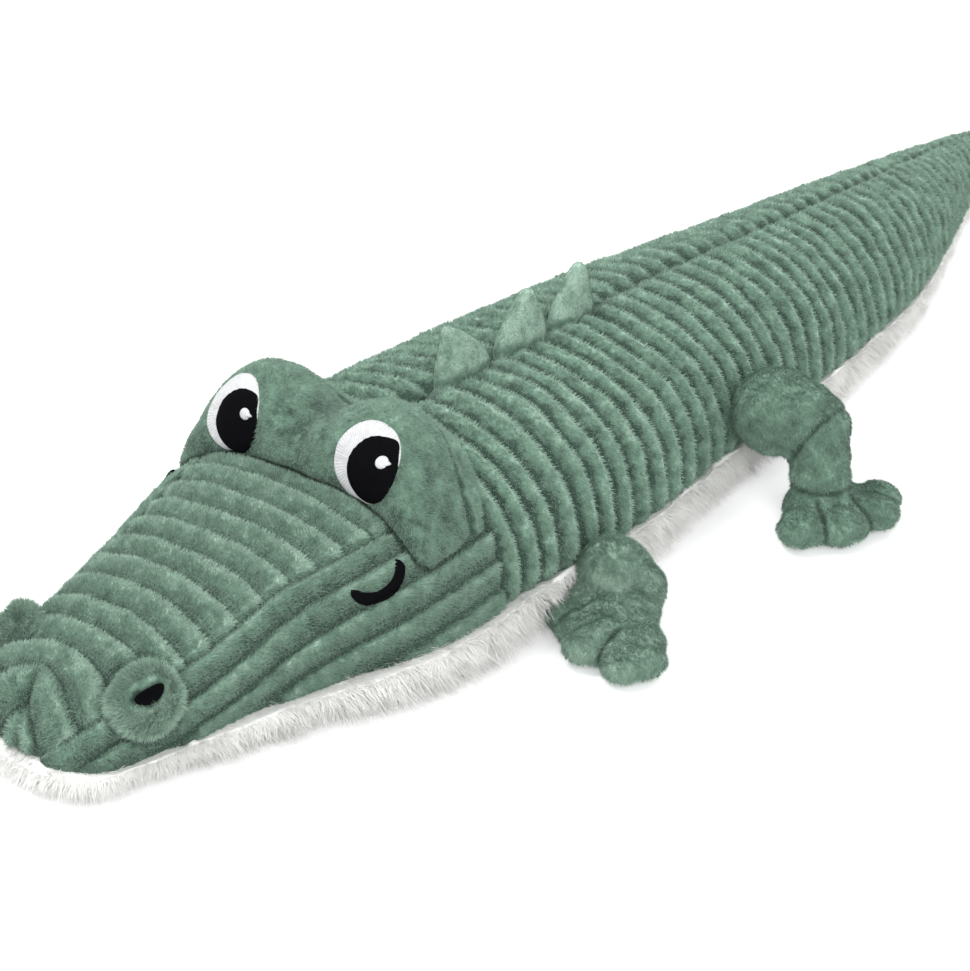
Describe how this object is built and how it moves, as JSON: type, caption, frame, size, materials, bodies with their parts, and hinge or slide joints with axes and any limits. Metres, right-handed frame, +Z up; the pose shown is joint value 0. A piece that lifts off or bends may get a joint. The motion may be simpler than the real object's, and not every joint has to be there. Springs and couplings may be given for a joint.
{
  "type": "plush crocodile",
  "caption": "Long plush crocodile lying on a flat white belly, with ribbed plush covers, embroidered eyes and smile, and soft swinging legs.",
  "frame": {"origin": "middle of the bounding box at the floor, under the flat belly", "axes": "+Y from the nose to the tail, +Z up, +X towards the left side of the animal"},
  "size_m": [0.2124, 0.632, 0.0753],
  "materials": {
    "ribbed_plush": "short pile plush knitted in gathered ribs",
    "smooth_plush": "smooth short pile plush",
    "white_fur": "long pile plush",
    "polyester_filling": "loose polyester fibre",
    "white_thread": "satin embroidery thread",
    "black_thread": "matt embroidery thread"
  },
  "bodies": {
    "body": {"snout_top_panel": "ribbed_plush", "snout_side_panel_left": "ribbed_plush", "snout_side_panel_right": "ribbed_plush", "back_panel_left": "ribbed_plush", "back_panel_right": "ribbed_plush", "chin_panel": "white_fur", "belly_panel": "white_fur", "body_filling": "polyester_filling", "brow_filling": "polyester_filling", "brow_cover": "smooth_plush", "eye_white_left": "white_thread", "eye_white_right": "white_thread", "eye_glint_left": "white_thread", "eye_glint_right": "white_thread", "eye_pupil_left": "black_thread", "eye_pupil_right": "black_thread", "nostril_pad_left": "smooth_plush", "nostril_pad_right": "smooth_plush", "nostril_stitch_left": "black_thread", "nostril_stitch_right": "black_thread", "smile_stitch_left": "black_thread", "smile_stitch_right": "black_thread", "spine_spike_front": "smooth_plush", "spine_spike_middle": "smooth_plush", "spine_spike_rear": "smooth_plush"},
    "front_leg_left": {"front_leg_left_cover": "smooth_plush", "front_leg_left_filling": "polyester_filling"},
    "front_leg_right": {"front_leg_right_cover": "smooth_plush", "front_leg_right_filling": "polyester_filling"},
    "hind_leg_left": {"hind_leg_left_cover": "smooth_plush", "hind_leg_left_filling": "polyester_filling"},
    "hind_leg_right": {"hind_leg_right_cover": "smooth_plush", "hind_leg_right_filling": "polyester_filling"}
  },
  "joints": [
    {"name": "front_leg_left_swing", "type": "hinge", "parent": "body", "child": "front_leg_left", "pos_m": [0.06786, -0.136, 0], "axis": [0, 0, 1], "range_deg": [-5, 35]},
    {"name": "front_leg_right_swing", "type": "hinge", "parent": "body", "child": "front_leg_right", "pos_m": [-0.06845, -0.136, 0], "axis": [0, 0, 1], "range_deg": [-5, 35]},
    {"name": "hind_leg_left_swing", "type": "hinge", "parent": "body", "child": "hind_leg_left", "pos_m": [0.0605, -0.04, 0], "axis": [0, 0, 1], "range_deg": [-25, 25]},
    {"name": "hind_leg_right_swing", "type": "hinge", "parent": "body", "child": "hind_leg_right", "pos_m": [-0.06984, -0.04, 0], "axis": [0, 0, -1], "range_deg": [-25, 25]}
  ]
}
